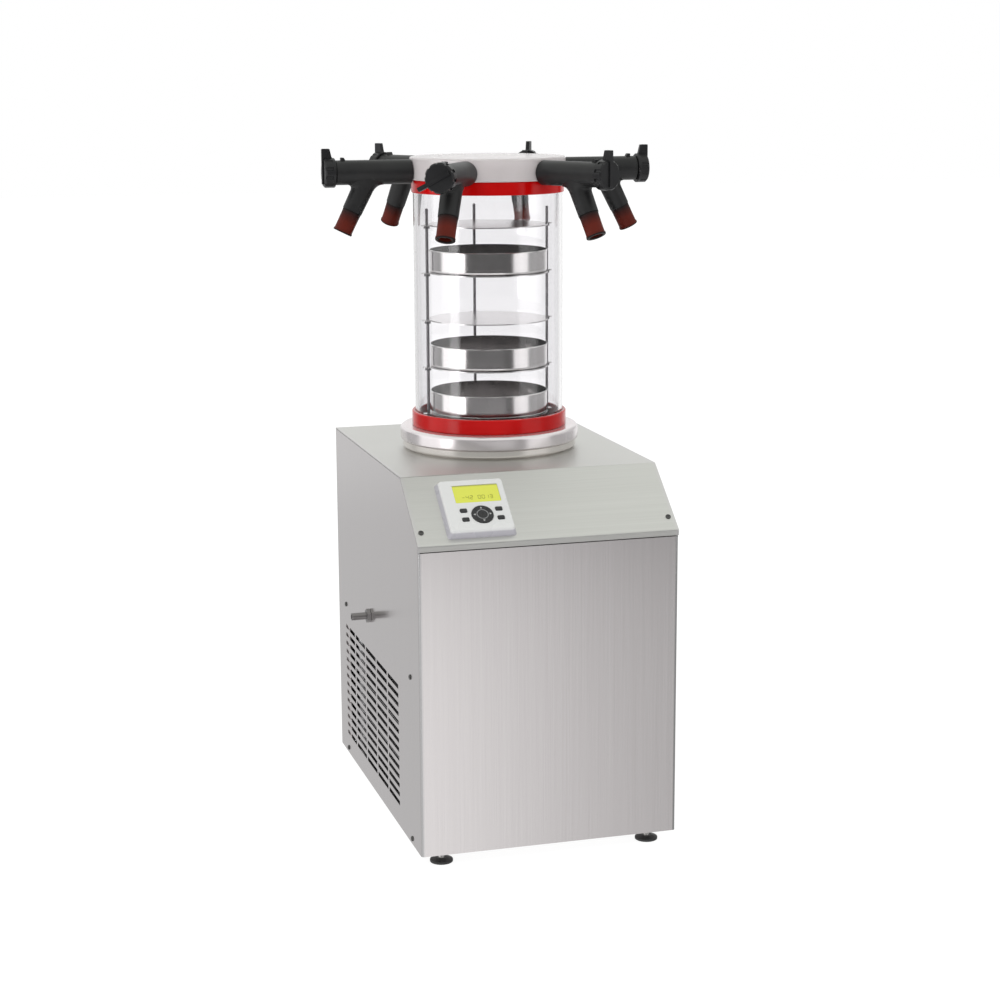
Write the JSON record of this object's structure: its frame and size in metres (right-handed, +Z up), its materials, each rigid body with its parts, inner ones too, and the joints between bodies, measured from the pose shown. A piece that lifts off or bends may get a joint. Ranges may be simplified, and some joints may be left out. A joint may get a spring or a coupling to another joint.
{
  "type": "bench freeze dryer",
  "caption": "Bench freeze dryer: satin steel cabinet with sloped console, clear drying chamber with shelves and trays, and a lid with rubber flask valves",
  "frame": {"origin": "on the bench under the middle of the overall footprint", "axes": "+X to the operator's right, -Y to the front (operator's side), +Z up"},
  "size_m": [0.4512, 0.512, 0.9017],
  "materials": {
    "satin_steel": "satin stainless sheet with a fine grain",
    "screw_steel": "dark zinc-plated steel",
    "foot_rubber": "black rubber pad on a bright threaded stem",
    "polished_steel": "polished stainless steel",
    "shelf_plate": "pale satin plate",
    "rod_steel": "drawn steel rod",
    "white_ring": "pearly white plastic",
    "red_silicone": "soft red silicone",
    "clear_acrylic": "clear acrylic",
    "milky_lid": "milky translucent plastic",
    "valve_rubber": "matte black rubber",
    "knob_black": "black plastic, fine texture",
    "sleeve_rubber": "dark red-brown rubber",
    "white_housing": "white plastic, light sheen",
    "display_green": "yellow-green liquid crystal window",
    "key_black": "black soft-touch plastic",
    "board_green": "green solder mask",
    "black_moulding": "black moulding",
    "plant_steel": "grey painted sheet",
    "fin_aluminium": "mill aluminium",
    "copper": "drawn copper tube",
    "foam": "rigid foam",
    "compressor_black": "black gloss enamel"
  },
  "bodies": {
    "machine": {"hood": "satin_steel", "cabinet_wrap": "satin_steel", "rear_panel": "satin_steel", "base_tray": "satin_steel", "cabinet_screws": "screw_steel", "condenser_pot": "polished_steel", "flange_collar": "polished_steel", "base_ring": "white_ring", "lower_seal": "red_silicone", "chamber_tube": "clear_acrylic", "upper_seal": "red_silicone", "manifold_lid": "milky_lid", "rack_rods": "rod_steel", "rack_shelves": "shelf_plate", "rack_nuts": "screw_steel", "tray_1": "polished_steel", "tray_2": "polished_steel", "tray_3": "polished_steel", "port_nipples": "polished_steel", "flask_sleeves": "sleeve_rubber", "valve_body_1": "valve_rubber", "valve_body_2": "valve_rubber", "valve_body_3": "valve_rubber", "valve_body_4": "valve_rubber", "valve_body_5": "valve_rubber", "valve_body_6": "valve_rubber", "display_housing": "white_housing", "display_window": "display_green", "control_board": "board_green", "mains_inlet": "black_moulding", "vacuum_port": "polished_steel", "drain_nozzle": "polished_steel", "evaporator_coil": "copper", "insulation_jacket": "foam", "air_condenser": "fin_aluminium", "fan_shroud": "plant_steel", "compressor": "compressor_black", "compressor_mounts": "black_moulding", "refrigerant_lines": "copper"},
    "knob_1": {"valve_plug_1": "knob_black"},
    "knob_2": {"valve_plug_2": "knob_black"},
    "knob_3": {"valve_plug_3": "knob_black"},
    "knob_4": {"valve_plug_4": "knob_black"},
    "knob_5": {"valve_plug_5": "knob_black"},
    "knob_6": {"valve_plug_6": "knob_black"},
    "function_key_1": {"function_key_1": "key_black"},
    "function_key_2": {"function_key_2": "key_black"},
    "function_key_3": {"function_key_3": "key_black"},
    "function_key_4": {"function_key_4": "key_black"},
    "arrow_key_right": {"arrow_key_right": "key_black"},
    "arrow_key_up": {"arrow_key_up": "key_black"},
    "arrow_key_left": {"arrow_key_left": "key_black"},
    "arrow_key_down": {"arrow_key_down": "key_black"},
    "centre_key": {"centre_key": "key_black"},
    "fan": {"fan_rotor": "black_moulding"},
    "switch": {"mains_switch": "black_moulding"},
    "foot_1": {"foot_1": "foot_rubber"},
    "foot_2": {"foot_2": "foot_rubber"},
    "foot_3": {"foot_3": "foot_rubber"},
    "foot_4": {"foot_4": "foot_rubber"}
  },
  "joints": [
    {"name": "valve_1_turn", "type": "hinge", "parent": "machine", "child": "knob_1", "pos_m": [-0.21493, 0.03163, 0.8702], "axis": [-0.9997, 0.0262, 0], "range_deg": [0, 180]},
    {"name": "valve_2_turn", "type": "hinge", "parent": "machine", "child": "knob_2", "pos_m": [-0.11234, -0.15732, 0.8702], "axis": [-0.5225, -0.8526, 0], "range_deg": [-118, 62]},
    {"name": "valve_3_turn", "type": "hinge", "parent": "machine", "child": "knob_3", "pos_m": [0.10259, -0.16295, 0.8702], "axis": [0.4772, -0.8788, 0], "range_deg": [0, 180]},
    {"name": "valve_4_turn", "type": "hinge", "parent": "machine", "child": "knob_4", "pos_m": [0.21493, 0.02037, 0.8702], "axis": [0.9997, -0.0262, 0], "range_deg": [0, 180]},
    {"name": "valve_5_turn", "type": "hinge", "parent": "machine", "child": "knob_5", "pos_m": [0.11234, 0.20932, 0.8702], "axis": [0.5225, 0.8526, 0], "range_deg": [0, 180]},
    {"name": "valve_6_turn", "type": "hinge", "parent": "machine", "child": "knob_6", "pos_m": [-0.10259, 0.21495, 0.8702], "axis": [-0.4772, 0.8788, 0], "range_deg": [0, 180]},
    {"name": "function_key_1_press", "type": "slide", "parent": "machine", "child": "function_key_1", "axis": [0, 0.6194, -0.7851], "range_m": [0, 0.001], "stiffness_N_per_m": 200, "springref_m": -0.002},
    {"name": "function_key_2_press", "type": "slide", "parent": "machine", "child": "function_key_2", "axis": [0, 0.6194, -0.7851], "range_m": [0, 0.001], "stiffness_N_per_m": 200, "springref_m": -0.002},
    {"name": "function_key_3_press", "type": "slide", "parent": "machine", "child": "function_key_3", "axis": [0, 0.6194, -0.7851], "range_m": [0, 0.001], "stiffness_N_per_m": 200, "springref_m": -0.002},
    {"name": "function_key_4_press", "type": "slide", "parent": "machine", "child": "function_key_4", "axis": [0, 0.6194, -0.7851], "range_m": [0, 0.001], "stiffness_N_per_m": 200, "springref_m": -0.002},
    {"name": "arrow_key_right_press", "type": "slide", "parent": "machine", "child": "arrow_key_right", "axis": [0, 0.6194, -0.7851], "range_m": [0, 0.001], "stiffness_N_per_m": 200, "springref_m": -0.002},
    {"name": "arrow_key_up_press", "type": "slide", "parent": "machine", "child": "arrow_key_up", "axis": [0, 0.6194, -0.7851], "range_m": [0, 0.001], "stiffness_N_per_m": 200, "springref_m": -0.002},
    {"name": "arrow_key_left_press", "type": "slide", "parent": "machine", "child": "arrow_key_left", "axis": [0, 0.6194, -0.7851], "range_m": [0, 0.001], "stiffness_N_per_m": 200, "springref_m": -0.002},
    {"name": "arrow_key_down_press", "type": "slide", "parent": "machine", "child": "arrow_key_down", "axis": [0, 0.6194, -0.7851], "range_m": [0, 0.001], "stiffness_N_per_m": 200, "springref_m": -0.002},
    {"name": "centre_key_press", "type": "slide", "parent": "machine", "child": "centre_key", "axis": [0, 0.6194, -0.7851], "range_m": [0, 0.001], "stiffness_N_per_m": 200, "springref_m": -0.002},
    {"name": "fan_spin", "type": "hinge", "parent": "machine", "child": "fan", "pos_m": [-0.1174, -0.0105, 0.1195], "axis": [1, 0, 0], "continuous": true},
    {"name": "switch_rock", "type": "hinge", "parent": "machine", "child": "switch", "pos_m": [0.11, 0.228, 0.099], "axis": [1, 0, 0], "range_deg": [-16, 0]},
    {"name": "foot_1_turn", "type": "hinge", "parent": "machine", "child": "foot_1", "pos_m": [-0.1405, -0.232, 0.02], "axis": [0, 0, 1], "continuous": true},
    {"name": "foot_2_turn", "type": "hinge", "parent": "machine", "child": "foot_2", "pos_m": [0.1405, -0.232, 0.02], "axis": [0, 0, 1], "continuous": true},
    {"name": "foot_3_turn", "type": "hinge", "parent": "machine", "child": "foot_3", "pos_m": [-0.1405, 0.194, 0.02], "axis": [0, 0, 1], "continuous": true},
    {"name": "foot_4_turn", "type": "hinge", "parent": "machine", "child": "foot_4", "pos_m": [0.1405, 0.194, 0.02], "axis": [0, 0, 1], "continuous": true}
  ]
}
